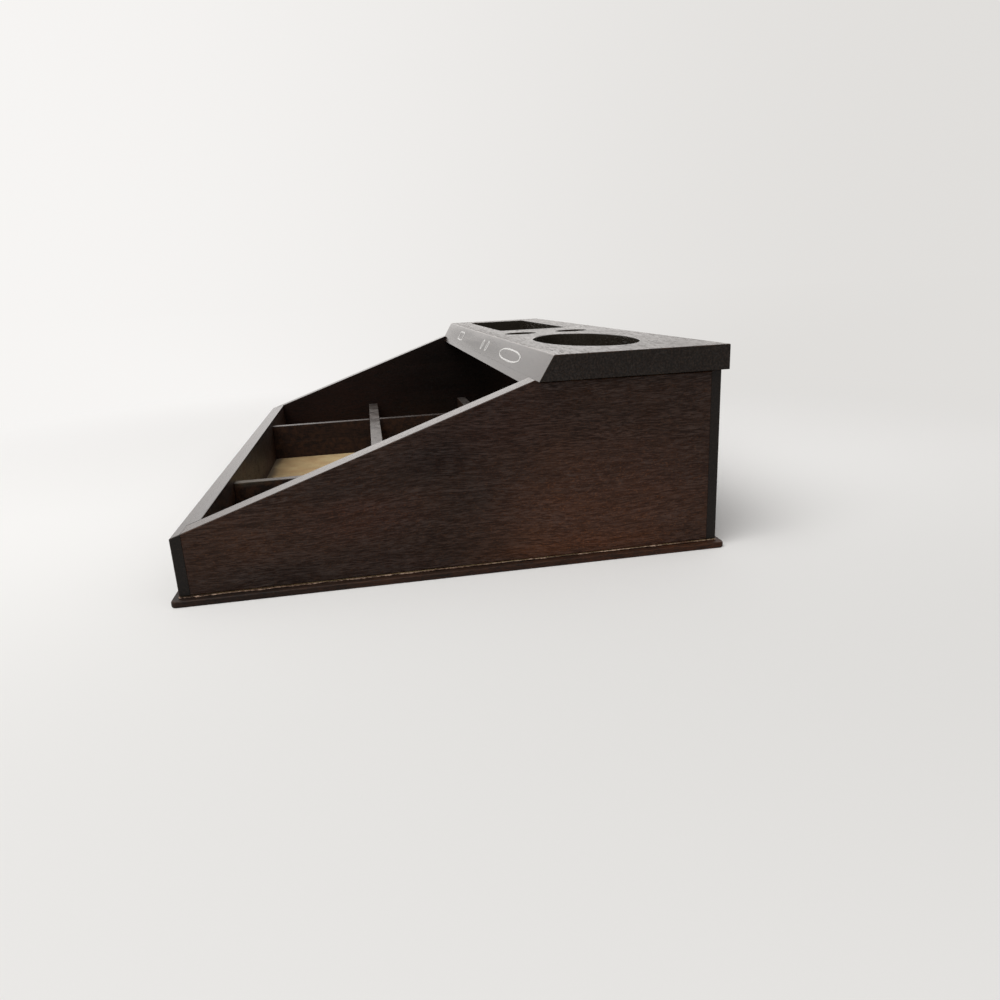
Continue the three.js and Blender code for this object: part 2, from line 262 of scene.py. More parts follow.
class Nodes:
    """Short ways to add nodes to one node tree."""

    def __init__(self, tree):
        self.tree = tree

    def feed(self, socket, value):
        """Links a socket, or sets its value."""
        if isinstance(value, bpy.types.NodeSocket):
            self.tree.links.new(value, socket)
        else:
            socket.default_value = value

    def add(self, kind, inputs=None, **settings):
        """A node with its settings. inputs gives each socket, by name or number, a value or a link."""
        node = self.tree.nodes.new(kind)
        for key, value in settings.items():
            setattr(node, key, value)
        for socket, value in (inputs or {}).items():
            self.feed(node.inputs[socket], value)
        return node

    def math(self, operation, a, b=0.0, clamp=False):
        """Arithmetic on two values."""
        inputs = {0: a, 1: b}
        return self.add("ShaderNodeMath", inputs, operation=operation, use_clamp=clamp).outputs[0]

    def plus(self, a, b, clamp=False):
        """Sum of two values."""
        return self.math("ADD", a, b, clamp)

    def times(self, a, b, clamp=False):
        """Product of two values."""
        return self.math("MULTIPLY", a, b, clamp)

    def mix(self, share, a, b, blend="MIX"):
        """Two colours mixed by a share of the second."""
        inputs = {0: share, 6: a, 7: b}
        return self.add("ShaderNodeMix", inputs, data_type="RGBA", blend_type=blend).outputs[2]

    def step(self, value, low, high, to_low=0.0, to_high=1.0):
        """A smooth step of a value from one range to another."""
        inputs = {"Value": value, "From Min": low, "From Max": high, "To Min": to_low, "To Max": to_high}
        return self.add("ShaderNodeMapRange", inputs, interpolation_type="SMOOTHSTEP").outputs[0]

    def vectors(self, operation, a, b=None):
        """Vector arithmetic: the node's outputs, its vector first and its value second."""
        inputs = {0: a} if b is None else {0: a, 1: b}
        return self.add("ShaderNodeVectorMath", inputs, operation=operation).outputs

    def stretch(self, vector, factors):
        """A vector times a factor for each axis."""
        return self.vectors("MULTIPLY", vector, factors)[0]

    def part(self, vector, axis):
        """One number of a vector: 0 for X, 1 for Y, 2 for Z."""
        return self.add("ShaderNodeSeparateXYZ", {0: vector}).outputs[axis]

    def noise(self, vector, scale=1.0, detail=2.0, roughness=0.5):
        """Soft noise from 0 to 1."""
        inputs = {"Vector": vector, "Scale": scale, "Detail": detail, "Roughness": roughness}
        return self.add("ShaderNodeTexNoise", inputs).outputs[0]

    def bump(self, height, strength, depth):
        """A normal that follows a height."""
        inputs = {"Height": height, "Strength": strength, "Distance": depth}
        return self.add("ShaderNodeBump", inputs).outputs[0]

    def placed_group(self, tree, inputs):
        """A node group with its own values: its outputs."""
        node = self.add("ShaderNodeGroup", node_tree=tree)
        for socket, value in inputs.items():
            self.feed(node.inputs[socket], value)
        return node.outputs


def new_group(name, inputs, outputs):
    """A shader node group with named sockets, its inlet and outlet, and a Nodes helper on it."""
    tree = bpy.data.node_groups.new(name, "ShaderNodeTree")
    for socket, kind in inputs.items():
        tree.interface.new_socket(socket, in_out="INPUT", socket_type=kind)
    for socket, kind in outputs.items():
        tree.interface.new_socket(socket, in_out="OUTPUT", socket_type=kind)
    nodes = Nodes(tree)
    return tree, nodes, nodes.add("NodeGroupInput").outputs, nodes.add("NodeGroupOutput").inputs


COLOR, VALUE, VECTOR = "NodeSocketColor", "NodeSocketFloat", "NodeSocketVector"

# Rates of the grain's layers: changes per millimetre along the grain and across it
WANDER = (0.012, 0.03, 0.03)
BANDS = (0.004, 0.11, 0.11)
STREAKS = (0.035, 0.9, 0.9)
FIBRES = (0.3, 2.5, 2.5)
DASHES = (0.3, 2.9, 2.9)
GRIT = (1.3, 2.4, 2.4)
FINE_LINES = (0.09, 3.1, 3.1)
POOLS = (0.1, 0.28, 0.28)
PLACE_STREAKS = (0.02, 0.35, 0.35)
SWAY = (0.0, 9.0, 9.0)  # how far the lines wander, in millimetres


def stained_grain_group():
    """Stained open-pored wood. The grain runs along X of the vector, which is in millimetres.

    Wandering lines give slow bands, streaks, patchy fibres and fine dark lines. Short stretched cells are
    the open pores, and wide soft clouds are where the stain took unevenly. The lacquer lies on fibres and
    streaks, is thin over pores and fine lines, and pools in soft patches.
    """
    inputs = {"Vector": VECTOR, "Deep": COLOR, "Brown": COLOR, "Warm": COLOR, "Cloud": VALUE, "Pores": VALUE}
    outputs = {"Color": COLOR, "Roughness": VALUE, "Height": VALUE, "Lacquer": VALUE}
    tree, n, given, out = new_group("stained_grain", inputs, outputs)
    slow = n.stretch(given["Vector"], WANDER)
    wander = n.add("ShaderNodeTexNoise", {"Vector": slow, "Scale": 1.0}).outputs["Color"]
    sway = n.vectors("SUBTRACT", wander, (0.5, 0.5, 0.5))[0]
    vector = n.vectors("ADD", n.stretch(sway, SWAY), given["Vector"])[0]
    bands = n.noise(n.stretch(vector, BANDS), detail=3.0)
    streaks = n.noise(n.stretch(vector, STREAKS), detail=4.0, roughness=0.62)
    fibres = n.noise(n.stretch(vector, FIBRES), detail=3.0, roughness=0.65)
    dashes = n.noise(n.stretch(vector, DASHES), detail=1.5, roughness=0.5)
    grit = n.noise(n.stretch(vector, GRIT), detail=2.0, roughness=0.6)
    lines = n.noise(n.stretch(vector, FINE_LINES), detail=2.0)
    clouds = n.noise(given["Vector"], scale=0.022, detail=3.0, roughness=0.55)
    crowd = n.step(bands, 0.35, 0.65, 0.64, 0.57)
    pores = n.step(n.math("SUBTRACT", dashes, crowd), 0.0, 0.06)
    tone = n.plus(n.times(bands, 0.5), n.times(streaks, 0.5))
    wood = n.mix(n.step(tone, 0.3, 0.66, 0.3, 0.95), given["Deep"], given["Brown"])
    warmth = n.times(n.step(clouds, 0.46, 0.7), given["Cloud"])
    wood = n.mix(warmth, wood, given["Warm"])
    marked = n.step(n.noise(given["Vector"], scale=0.08, detail=3.0), 0.36, 0.62, 0.45, 0.95)
    wood = n.mix(n.step(fibres, 0.34, 0.62), n.mix(marked, wood, given["Deep"]), wood)
    wood = n.mix(n.step(grit, 0.5, 0.74, 0.0, 0.8), wood, given["Warm"])
    wood = n.mix(n.step(lines, 0.58, 0.68, 0.0, 0.85), wood, given["Deep"])
    open_pores = n.times(pores, given["Pores"], clamp=True)
    n.feed(out["Color"], n.mix(n.times(open_pores, 0.9), wood, given["Deep"]))
    n.feed(out["Roughness"], n.plus(n.times(fibres, 0.16), n.times(open_pores, 0.2)))
    n.feed(out["Height"], n.math("SUBTRACT", n.times(fibres, 0.3), open_pores))
    laid = n.plus(n.step(fibres, 0.4, 0.6, 0.0, 0.65), n.step(streaks, 0.35, 0.65, 0.0, 0.35))
    laid = n.times(laid, n.step(lines, 0.56, 0.68, 1.0, 0.1))
    pooled = n.noise(n.stretch(vector, POOLS), detail=2.0)
    laid = n.times(laid, n.step(pooled, 0.35, 0.65, 0.85, 1.12))
    n.feed(out["Lacquer"], n.times(laid, n.step(dashes, 0.5, 0.6, 1.0, 0.1)))
    return tree


def end_grain_group():
    """Cut ends of the grain: how squarely a face cuts its axis, the speckled pore mouths, and sawn holes."""
    inputs = {"Vector": VECTOR, "Normal": VECTOR, "Axis": VECTOR}
    tree, n, given, out = new_group("end_grain", inputs, {"Mask": VALUE, "Speckle": VALUE, "Sawn": VALUE})
    along = n.vectors("DOT_PRODUCT", given["Normal"], given["Axis"])[1]
    n.feed(out["Mask"], n.step(n.math("ABSOLUTE", along), 0.55, 0.9))
    n.feed(out["Speckle"], n.noise(given["Vector"], scale=2.4, detail=2.0))
    sawn = n.add("ShaderNodeAttribute", attribute_name="sawn").outputs["Fac"]
    patchy = n.step(n.noise(given["Vector"], scale=0.25, detail=3.0), 0.3, 0.6, 0.8, 1.0)
    n.feed(out["Sawn"], n.times(sawn, patchy, clamp=True))
    return tree


def edge_wear_group():
    """Wear along eased edges: the edge attribute, broken up by noise."""
    tree, n, given, out = new_group("edge_wear", {"Vector": VECTOR, "Amount": VALUE}, {"Mask": VALUE})
    edge = n.add("ShaderNodeAttribute", attribute_name="arris").outputs["Fac"]
    patchy = n.step(n.noise(given["Vector"], scale=0.35, detail=4.0, roughness=0.65), 0.42, 0.62)
    n.feed(out["Mask"], n.times(n.times(edge, patchy), given["Amount"], clamp=True))
    return tree


def dust_group():
    """Dust and dullness by how far a face looks up.

    Mask is fine pale dust on tops, broken up by Grain. Film covers level tops and Upright the upright faces,
    both a little patchy. Calm is how much of the pores shows: all on upright faces, nearly all on level
    tops, and least on the slopes between.
    """
    inputs = {"Vector": VECTOR, "Normal": VECTOR, "Amount": VALUE, "Grain": VALUE}
    outputs = {"Mask": VALUE, "Film": VALUE, "Upright": VALUE, "Calm": VALUE}
    tree, n, given, out = new_group("settled_dust", inputs, outputs)
    up = n.part(given["Normal"], 2)
    film = n.step(n.noise(given["Vector"], scale=0.09, detail=5.0, roughness=0.65), 0.4, 0.75, 0.25, 1.0)
    bare = n.step(n.noise(given["Vector"], scale=2.2, detail=2.0), 0.5, 0.72, 1.0, 0.0)
    grains = n.math("SUBTRACT", 1.0, n.times(bare, given["Grain"]))
    cover = n.times(n.step(up, 0.5, 0.95), n.times(film, grains))
    n.feed(out["Mask"], n.times(cover, given["Amount"], clamp=True))
    n.feed(out["Film"], n.times(n.step(up, 0.96, 0.99), n.step(film, 0.2, 1.0, 0.75, 1.0)))
    n.feed(out["Upright"], n.times(n.step(up, 0.2, 0.5, 1.0, 0.0), n.step(film, 0.2, 1.0, 0.7, 1.0)))
    calm = n.plus(n.step(up, 0.2, 0.5, 1.0, 0.12), n.step(up, 0.7, 0.97, 0.0, 0.3))
    n.feed(out["Calm"], n.plus(calm, n.step(up, 0.97, 0.995, 0.0, 0.5)))
    return tree


GRAIN = stained_grain_group()
END_GRAIN = end_grain_group()
EDGE_WEAR = edge_wear_group()
DUST = dust_group()

GRAIN_TURN = {"x": (0.0, 0.0, 0.0), "y": (0.0, 0.0, -math.pi / 2)}
GRAIN_AXIS = {"x": (1.0, 0.0, 0.0), "y": (0.0, 1.0, 0.0)}
MM_PER_METRE = 1000.0


def new_material(name):
    """A material, a Nodes helper on it, the inputs of its shader, and its texture coordinates."""
    material = bpy.data.materials.new(name)
    material.use_nodes = True
    nodes = Nodes(material.node_tree)
    shader = material.node_tree.nodes["Principled BSDF"].inputs
    return material, nodes, shader, nodes.add("ShaderNodeTexCoord").outputs


def grain_vector(n, place, grain="x", offset=(0.0, 0.0, 0.0), coarse=1.0):
    """Object coordinates in millimetres over the coarseness, with the grain turned to X, and shifted."""
    scale = [MM_PER_METRE / coarse] * 3
    inputs = {"Vector": place["Object"], "Scale": scale, "Rotation": GRAIN_TURN[grain], "Location": offset}
    return n.add("ShaderNodeMapping", inputs).outputs[0]


# Colours of the stained wood: the deepest stain, and pairs of a brown and a warmer one
DEEP = (0.0055, 0.0032, 0.0024, 1)
NEAR_DEEP = (0.012, 0.0055, 0.0034, 1)
OUTER_BROWNS = ((0.036, 0.0142, 0.0072, 1), (0.056, 0.0215, 0.0088, 1))
NEAR_BROWNS = ((0.0285, 0.0114, 0.0056, 1), (0.042, 0.0168, 0.007, 1))
DECK_BROWNS = ((0.026, 0.0155, 0.0105, 1), (0.038, 0.021, 0.0125, 1))
INNER_BROWNS = ((0.026, 0.0115, 0.0075, 1), (0.036, 0.0165, 0.0105, 1))
BASE_BROWNS = ((0.03, 0.0115, 0.0055, 1), (0.046, 0.017, 0.0065, 1))
# Browns of the far side: the side boards' wood made darker, as painted shade on its inner face inside the
# tray
FAR_SHADED_BROWNS = ((0.0165, 0.0069, 0.0048, 1), (0.023, 0.0098, 0.0068, 1))
END_DARK = (0.0062, 0.0046, 0.0037, 1)
END_LIGHT = (0.016, 0.0105, 0.0075, 1)
# Sawn walls of the deck's holes, greyer than the stain: partly their own colour, and brighter than that as
# painted light in the holes
SAWN_PAINTED_LIGHT_DARK = (0.018, 0.0155, 0.0115, 1)
SAWN_PAINTED_LIGHT_PALE = (0.034, 0.029, 0.022, 1)
BARE_EDGE = (0.085, 0.036, 0.016, 1)
DUST_GREY = (0.32, 0.3, 0.28, 1)

# Surface of the stained wood
SATIN = 0.17  # usual reflection of the lacquer
LACQUER_MEAN = 0.31  # average of the uneven film
LACQUER_ROUGH = 0.25
DUST_DULL = 0.5  # roughness that full dust adds
PORE_DEPTH = 0.1 * MM
PORE_STRENGTH = 0.5


def shaded(color, factor):
    """A colour times a factor."""
    return tuple(factor * c for c in color[:3]) + (1,)


def stain_and_shade_places(n, place, vector, color, patches):
    """Places of uneven stain and of painted shade: each tints the colour inside an ellipsoid, streaked along
    the grain.

    Gives the tinted colour, and the roughness that each place adds.
    """
    streaky = n.step(n.noise(n.stretch(vector, PLACE_STREAKS), detail=4.0), 0.25, 0.55, 0.55, 1.0)
    added = []
    for centre, reach, tint, dull in patches:
        from_centre = n.vectors("SUBTRACT", place["Object"], [c * MM for c in centre])[0]
        scaled = n.stretch(from_centre, [1 / (r * MM) for r in reach])
        away = n.vectors("LENGTH", scaled)[1]
        share = n.times(n.step(away, 0.1, 1.0, 1.0, 0.0), streaky)
        color = n.mix(share, color, tint, "MULTIPLY")
        if dull:
            added.append(n.times(share, dull))
    return color, added


def lacquer_film(n, shader, wood, dusty, lacquer, level):
    """Clear coat: uneven on upright faces and, as far as level says, on level tops, and even elsewhere."""
    uneven = n.math("SUBTRACT", wood["Lacquer"], LACQUER_MEAN)
    spread = n.math("MAXIMUM", dusty["Upright"], n.times(dusty["Film"], level))
    weight = n.plus(n.times(spread, uneven), LACQUER_MEAN)
    n.feed(shader["Coat Weight"], n.times(weight, lacquer, clamp=True))
    shader["Coat Roughness"].default_value = LACQUER_ROUGH


def stained_wood(name, grain, offset, browns=OUTER_BROWNS, deep=DEEP, cloud=0.5, pores=1.0, ends=1.0,
                 wear=0.35, dust=0.1, grains=0.7, matt=0.12, film=0.0, upright=0.0, shine=SATIN,
                 lacquer=0.0, level=0.0, coarse=1.0, patches=()):
    """Dark stained wood under a thin satin lacquer, with end grain, worn edges, dust, uneven stain and
    places of painted shade.

    The colour is the grain, then the places of uneven stain and painted shade, cut ends, sawn holes
    brightened with painted light, bare edges and dust, each laid over the last. The roughness is matt plus
    what the pores, dust, film, upright faces and places add.
    """
    material, n, shader, place = new_material(name)
    vector = grain_vector(n, place, grain, offset, coarse)
    inputs = {"Vector": vector, "Deep": deep, "Brown": browns[0], "Warm": browns[1]}
    wood = n.placed_group(GRAIN, {**inputs, "Cloud": cloud, "Pores": pores})
    inputs = {"Vector": vector, "Normal": place["Normal"], "Axis": GRAIN_AXIS[grain]}
    end = n.placed_group(END_GRAIN, inputs)
    worn = n.placed_group(EDGE_WEAR, {"Vector": vector, "Amount": wear})
    inputs = {"Vector": vector, "Normal": place["Normal"], "Amount": dust, "Grain": grains}
    dusty = n.placed_group(DUST, inputs)
    color, added = stain_and_shade_places(n, place, vector, wood["Color"], patches)
    cut_color = n.mix(n.step(end["Speckle"], 0.4, 0.75), shaded(END_DARK, ends), shaded(END_LIGHT, ends))
    # Walls of the deck's holes: greyer sawn wood, made brighter than its own colour as painted light in the
    # holes
    sawn_and_painted_light_color = n.mix(n.step(end["Speckle"], 0.35, 0.7), SAWN_PAINTED_LIGHT_DARK, SAWN_PAINTED_LIGHT_PALE)
    color = n.mix(end["Mask"], color, cut_color)
    color = n.mix(end["Sawn"], color, sawn_and_painted_light_color)
    color = n.mix(worn["Mask"], color, BARE_EDGE)
    n.feed(shader["Base Color"], n.mix(dusty["Mask"], color, DUST_GREY))
    dulled = n.plus(n.times(dusty["Mask"], DUST_DULL), n.times(dusty["Film"], film))
    dulled = n.plus(dulled, n.times(dusty["Upright"], upright))
    for place_dull in added:
        dulled = n.plus(dulled, place_dull)
    pore_rough = n.times(wood["Roughness"], dusty["Calm"])
    n.feed(shader["Roughness"], n.plus(n.plus(pore_rough, matt), dulled, clamp=True))
    height = n.times(wood["Height"], dusty["Calm"])
    n.feed(shader["Normal"], n.bump(height, PORE_STRENGTH, PORE_DEPTH))
    shader["Specular IOR Level"].default_value = shine
    if lacquer:
        lacquer_film(n, shader, wood, dusty, lacquer, level)
    return material


# Flocked card: colours, colour factors, and places along Y of its pattern in millimetres
TAN_DARK = (0.36, 0.247, 0.116, 1)
TAN_LIGHT = (0.485, 0.368, 0.183, 1)
TAN_FLECK = (0.3, 0.17, 0.07, 1)
TAN_WARMER = (1.0, 0.93, 0.9, 1)
TAN_PALER = (1.42, 1.55, 1.66, 1)
MARGIN_BROWN = (0.05, 0.035, 0.02, 1)
MARGIN_FADE = (-66.0, -62.0)
PALER_FADE = (-52.0, -30.0)
RAGGED_REACH = 5.0
NAP_DEPTH = 0.1 * MM


def tan_card():
    """Flocked tan card: mottled colour, a short nap, no shine.

    A ragged dark margin runs along the foot of the front board, the card is paler from the middle of the
    front cells on backwards, and its edges are soaked with stain.
    """
    material, n, shader, place = new_material("tan_card")
    vector = grain_vector(n, place, offset=(13.0, 7.0, 0.0))
    mottle = n.noise(vector, scale=0.11, detail=4.0, roughness=0.6)
    flecks = n.noise(vector, scale=1.6, detail=3.0, roughness=0.6)
    warmth = n.noise(vector, scale=0.16, detail=2.0)
    color = n.mix(n.step(mottle, 0.3, 0.72), TAN_DARK, TAN_LIGHT)
    color = n.mix(n.step(flecks, 0.35, 0.7, 0.35, 0.0), color, TAN_FLECK)
    color = n.mix(n.step(warmth, 0.35, 0.65), n.mix(1.0, color, TAN_WARMER, "MULTIPLY"), color)
    ragged = n.plus(n.part(vector, 1), n.times(mottle, RAGGED_REACH))
    color = n.mix(n.step(ragged, *MARGIN_FADE, 0.8, 0.0), color, MARGIN_BROWN)
    color = n.mix(n.step(ragged, *PALER_FADE), color, n.mix(1.0, color, TAN_PALER, "MULTIPLY"))
    soaked = n.mix(n.step(flecks, 0.4, 0.7), DEEP, BARE_EDGE)
    n.feed(shader["Base Color"], n.mix(n.step(n.part(place["Normal"], 2), 0.2, 0.8), soaked, color))
    n.feed(shader["Roughness"], n.step(flecks, 0.3, 0.7, 0.82, 0.95))
    n.feed(shader["Normal"], n.bump(flecks, 0.5, NAP_DEPTH))
    shader["Specular IOR Level"].default_value = 0.15
    shader["Sheen Weight"].default_value = 0.15
    return material


CRUMB_BROWN = (0.1, 0.058, 0.04, 1)
CRUMB_TAN = (0.55, 0.385, 0.285, 1)
EDGE_STAIN = (0.06, 0.024, 0.01, 1)
CRUMB_DEPTH = 0.15 * MM


def raw_edge_card():
    """Raw edge of the card, with glue and stain on it: tan crumbs among brown ones."""
    material, n, shader, place = new_material("raw_card_edge")
    vector = grain_vector(n, place, offset=(3.0, 1.0, 0.0))
    crumbs = n.noise(vector, scale=0.9, detail=4.0, roughness=0.65)
    stain = n.noise(vector, scale=0.05, detail=3.0)
    color = n.mix(n.step(crumbs, 0.38, 0.62), CRUMB_BROWN, CRUMB_TAN)
    n.feed(shader["Base Color"], n.mix(n.step(stain, 0.3, 0.65, 0.75, 0.0), color, EDGE_STAIN))
    n.feed(shader["Roughness"], n.step(crumbs, 0.3, 0.7, 0.55, 0.85))
    n.feed(shader["Normal"], n.bump(crumbs, 0.6, CRUMB_DEPTH))
    shader["Specular IOR Level"].default_value = 0.25
    return material


INK_WORN = (0.5, 0.49, 0.47, 1)
INK_FULL = (0.74, 0.73, 0.71, 1)


def pale_print():
    """Thin pale ink of the pocket marks, a little worn."""
    material, n, shader, place = new_material("pale_print")
    thin = n.noise(grain_vector(n, place), scale=1.1, detail=3.0)
    n.feed(shader["Base Color"], n.mix(n.step(thin, 0.35, 0.65), INK_WORN, INK_FULL))
    n.feed(shader["Roughness"], n.step(thin, 0.3, 0.7, 0.45, 0.6))
    return material


BEECH_DARK = (0.42, 0.26, 0.12, 1)
BEECH_LIGHT = (0.6, 0.42, 0.22, 1)
BEECH_STREAKS = (1.5, 1.5, 0.05)


def plain_beech():
    """Beech of the dowels: pale streaks along Z."""
    material, n, shader, place = new_material("plain_beech")
    streak = n.noise(n.stretch(grain_vector(n, place), BEECH_STREAKS), detail=3.0)
    n.feed(shader["Base Color"], n.mix(n.step(streak, 0.3, 0.7), BEECH_DARK, BEECH_LIGHT))
    n.feed(shader["Roughness"], n.step(streak, 0.3, 0.7, 0.6, 0.75))
    return material


STEEL_DARK = (0.4, 0.4, 0.41, 1)
STEEL_LIGHT = (0.6, 0.6, 0.6, 1)
STEEL_SCRATCHES = (6.0, 6.0, 0.2)


def pin_steel():
    """Drawn steel of the pins: fine scratches along Z."""
    material, n, shader, place = new_material("pin_steel")
    drawn = n.noise(n.stretch(grain_vector(n, place), STEEL_SCRATCHES), detail=3.0)
    n.feed(shader["Base Color"], n.mix(n.step(drawn, 0.3, 0.7), STEEL_DARK, STEEL_LIGHT))
    n.feed(shader["Roughness"], n.step(drawn, 0.3, 0.7, 0.25, 0.45))
    shader["Metallic"].default_value = 1.0
    return material


# Base board
def base_board(material):
    """Thin board: a rectangle with round corners along Z, drawn in at both faces by quarter circles."""
    place, inset, wear = eased_ends(BASE[0, 2], BASE[1, 2], BASE_ROUND, BASE_ROUND)
    low = BASE[0, :2] + inset[:, None]
    high = BASE[1, :2] - inset[:, None]
    board = plain_board(2, place, low, high, BASE_CORNER - inset, wear)
    return piece_of_shells("base_board_piece", [board], material, ["base_board"])


# Lining
def lining_sheet(material):
    """Flat card between the base and the walls' feet."""
    inset = np.array([LINING_INSET, LINING_INSET, 0])
    card = block(LINING[0] + inset, LINING[1] - inset, LINING_ROUND)
    return piece_of_shells("lining_card", [card], material, ["floor_lining"])


# Raw edge of the lining. Each band of noise has a width in steps along the edge, and a seed
BEAD_SPACING = 0.22 * MM
BEAD_SIDES = 8
CRUMBS = (1.3, 3)
SHREDS = (7.0, 7)
LUMPS = (4.0, 11)
SWELL = (80.0, 5)
RISE_AND_FALL = (5.0, 23)
SHRED_MEAN = 0.55
SHRED_SPREAD = 1.2
BEAD_LEAST = 0.04 * MM  # radius in the gaps
BEAD_STRAND = 0.38 * MM  # radius that a full strand adds
BEAD_LUMP = 0.26 * MM  # radius that a lump adds
FRONT_LUMP = 0.6 * MM  # radius that a lump at the front adds further
FRONT_REACH = 20.0 * MM
BEHIND_START = -30.0 * MM
BEHIND_REACH = 40.0 * MM
BEHIND_THICKER = 0.25  # share by which a strand is thicker behind
BEAD_RISE = 0.12 * MM  # how far the bead wanders up and down, and how much higher it lies behind
BEAD_OUT = 0.15  # how far the bead stands out, as a share of its radius
BEAD_FLAT = 0.85  # height of the bead, as a share of its width
BEAD_HANG = 0.05 * MM  # how far the bead may hang below the card


def smooth_noise(count, width, seed):
    """Closed band of noise round a loop, from -1 to 1: seeded values blurred over a width in steps."""
    values = np.random.default_rng(seed).normal(size=count)
    steps = np.minimum(np.arange(count), count - np.arange(count))
    kernel = np.exp(-0.5 * (steps / width) ** 2)
    blurred = np.real(np.fft.ifft(np.fft.fft(values) * np.fft.fft(kernel)))
    return blurred / np.abs(blurred).max()


def lining_edge(material):
    """Raw edge of the card along the foot of the walls: eight-sided rings on a path round the card.

    Their radius is a strand of crumbs, shreds and slow swell, down to gaps, plus lumps that are larger at
    the front. Behind, the strand is thicker and lies higher.
    """
    low, high = LINING[0, :2], LINING[1, :2]
    corners = np.array([[low[0], low[1]], [high[0], low[1]], [high[0], high[1]], [low[0], high[1]]])
    sides = [np.linspace(a, b, int(np.linalg.norm(b - a) / BEAD_SPACING), endpoint=False)
             for a, b in zip(corners, np.roll(corners, -1, 0))]
    path = np.concatenate(sides)
    ahead = np.roll(path, -1, 0) - np.roll(path, 1, 0)
    ahead /= np.linalg.norm(ahead, axis=1)[:, None]
    outward = np.stack([ahead[:, 1], -ahead[:, 0]], -1)
    count = len(path)
    crumbs = 0.5 + 0.5 * smooth_noise(count, *CRUMBS)
    shreds = np.clip(SHRED_MEAN + SHRED_SPREAD * smooth_noise(count, *SHREDS), 0, 1)
    lumps = np.clip(smooth_noise(count, *LUMPS), 0, 1) ** 2
    swell = 0.5 + 0.5 * smooth_noise(count, *SWELL)
    front = np.exp(-((path[:, 1] - low[1]) / FRONT_REACH) ** 2)
    behind = np.clip((path[:, 1] - BEHIND_START) / BEHIND_REACH, 0, 1)
    strand = crumbs * shreds * (0.5 + 0.5 * swell) * (1 + BEHIND_THICKER * behind)
    radius = BEAD_LEAST + BEAD_STRAND * strand + (BEAD_LUMP + FRONT_LUMP * front) * lumps
    height = LINING[:, 2].mean() + BEAD_RISE * (smooth_noise(count, *RISE_AND_FALL) + behind)
    turn = np.linspace(0, 2 * np.pi, BEAD_SIDES, endpoint=False)
    reach = radius[:, None] * (BEAD_OUT + np.cos(turn))
    rise = height[:, None] + BEAD_FLAT * radius[:, None] * np.sin(turn)
    rings = np.empty((count, BEAD_SIDES, 3))
    rings[..., :2] = path[:, None] + outward[:, None] * reach[..., None]
    rings[..., 2] = np.maximum(rise, LINING[0, 2] - BEAD_HANG)
    bead = Shell(np.concatenate([rings, rings[:1]]), caps=False)
    return piece_of_shells("lining_raw_edge", [bead], material)


# Walls
def side_board(name, limit, material):
    """Side board: rectangles across X and Z carried from front to back, their tops on the slope line."""
    along = np.linspace(limit[0, 1], limit[1, 1], SIDE_PLACES)
    y = np.unique(np.concatenate([along, np.linspace(RIDGE, RIDGE_FOOT, RIDGE_PLACES)]))
    waves = np.sin(y / SANDING_WAVES[0]) * np.sin(y / SANDING_WAVES[1])
    low = np.stack([np.full_like(y, limit[0, 0]), np.full_like(y, limit[0, 2])], -1)
    high = np.stack([np.full_like(y, limit[1, 0]), slope_top(y)], -1)
    board = plain_board(1, y, low, high, ARRIS * (1 + SANDING * waves))
    return piece_of_shells(name + "_piece", [board], material, [name])


def end_board(name, limit, face, material):
    """Front or back board: an outer layer that laps over the sides, and an inner one that fits between them.

    Both are rectangles across X and Z carried along Y, drawn in by a quarter circle at the open face. face
    is -1 at the front, where the tops follow the slope, and 1 at the back.
    """
    outer_edge, inner_edge = (limit[0, 1], limit[1, 1]) if face < 0 else (limit[1, 1], limit[0, 1])
    step_in = outer_edge - face * CORNER_LIP

    def top_at(places):
        """Height of the board's top."""
        level = np.full_like(places, limit[1, 2])
        return np.minimum(slope_top(places), level) if face < 0 else level

    place, inset, wear = eased_ends(outer_edge, step_in, -face * ARRIS, -face * LAYER_EDGE)
    inset = np.abs(inset)
    low = np.stack([limit[0, 0] + inset, np.full_like(place, limit[0, 2])], -1)
    high = np.stack([limit[1, 0] - inset, top_at(place) - inset], -1)
    lapped = plain_board(1, place, low, high, np.maximum(ARRIS - inset, LEAST_CORNER), wear)
    place, inset, wear = eased_ends(step_in, inner_edge, -face * LAYER_EDGE, -face * ARRIS)
    inset = np.abs(inset)
    low = np.stack([np.full_like(place, -inner_half), np.full_like(place, limit[0, 2])], -1)
    high = np.stack([np.full_like(place, inner_half), top_at(place) - inset], -1)
    between = plain_board(1, place, low, high, LEAST_CORNER, wear)
    return piece_of_shells(name + "_piece", [lapped, between], material, [name])


# Deck
def hole_rings(hole, places, growth):
    """Rings of a hole: its curve times its half sizes, grown outwards by its eased rims."""
    half = np.array(hole["half"]) * MM + np.asarray(growth)[:, None]
    loops = np.array(hole["centre"]) * MM + half[:, None] * oval_curve(HOLE_POINTS, hole["power"])
    return stack(2, places, loops)


